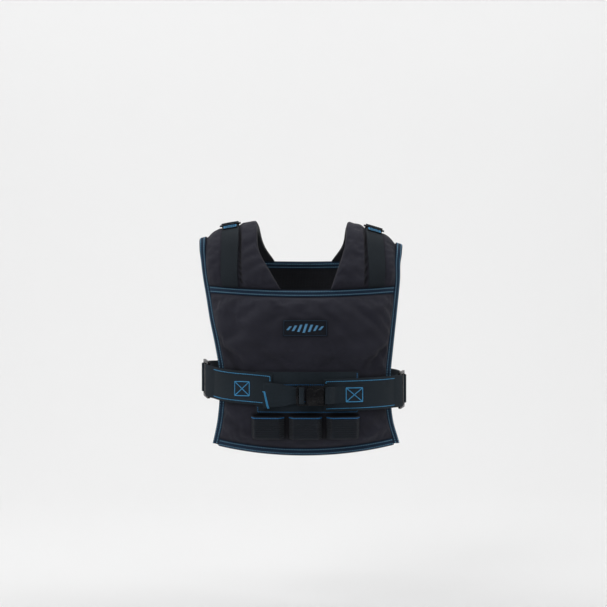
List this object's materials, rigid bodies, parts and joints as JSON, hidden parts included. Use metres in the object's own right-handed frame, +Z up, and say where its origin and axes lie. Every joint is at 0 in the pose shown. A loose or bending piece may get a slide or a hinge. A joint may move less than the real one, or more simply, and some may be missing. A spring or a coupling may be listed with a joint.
{
  "type": "weighted vest",
  "caption": "Padded weight vest with quilted chest and back panels, shoulder pads, bound edges, side rings and a front waist belt closed by a side-release buckle.",
  "frame": {"origin": "midway between the shoulders, at the height where the undersides of the shoulder pads rest on them", "axes": "+X to the right seen from the front, +Y from the chest to the back, +Z up; the front faces -Y"},
  "size_m": [0.3995, 0.2962, 0.4428],
  "materials": {
    "canvas": "matt woven canvas, near black with a slight violet cast",
    "binding": "matt woven tape, very dark navy",
    "webbing": "ribbed black webbing, faint sheen",
    "moulded_plastic": "moulded black plastic, satin",
    "patch": "flat woven patch, black with blue motif",
    "thread": "bright blue sewing thread"
  },
  "bodies": {
    "root": {"front_panel": "canvas", "back_panel": "canvas", "shoulder_pad_left": "canvas", "shoulder_pad_right": "canvas", "front_band": "binding", "back_band": "binding", "front_hem": "binding", "back_hem": "binding", "side_binding_left": "binding", "side_binding_right": "binding", "shoulder_strap_left": "webbing", "shoulder_strap_right": "webbing", "shoulder_tab_left": "webbing", "shoulder_tab_right": "webbing", "shoulder_slider_left": "moulded_plastic", "shoulder_slider_right": "moulded_plastic", "belt_wing_left": "webbing", "belt_wing_right": "webbing", "belt_back_strap": "webbing", "side_ring_left": "moulded_plastic", "side_ring_right": "moulded_plastic", "keeper_patch": "canvas", "keeper_rail_top": "webbing", "keeper_rail_foot": "webbing", "buckle_plug": "moulded_plastic", "buckle_socket": "moulded_plastic", "buckle_strap_left": "webbing", "buckle_strap_right": "webbing", "pouch_1": "webbing", "pouch_2": "webbing", "pouch_3": "webbing", "name_patch": "patch"}
  },
  "joints": []
}
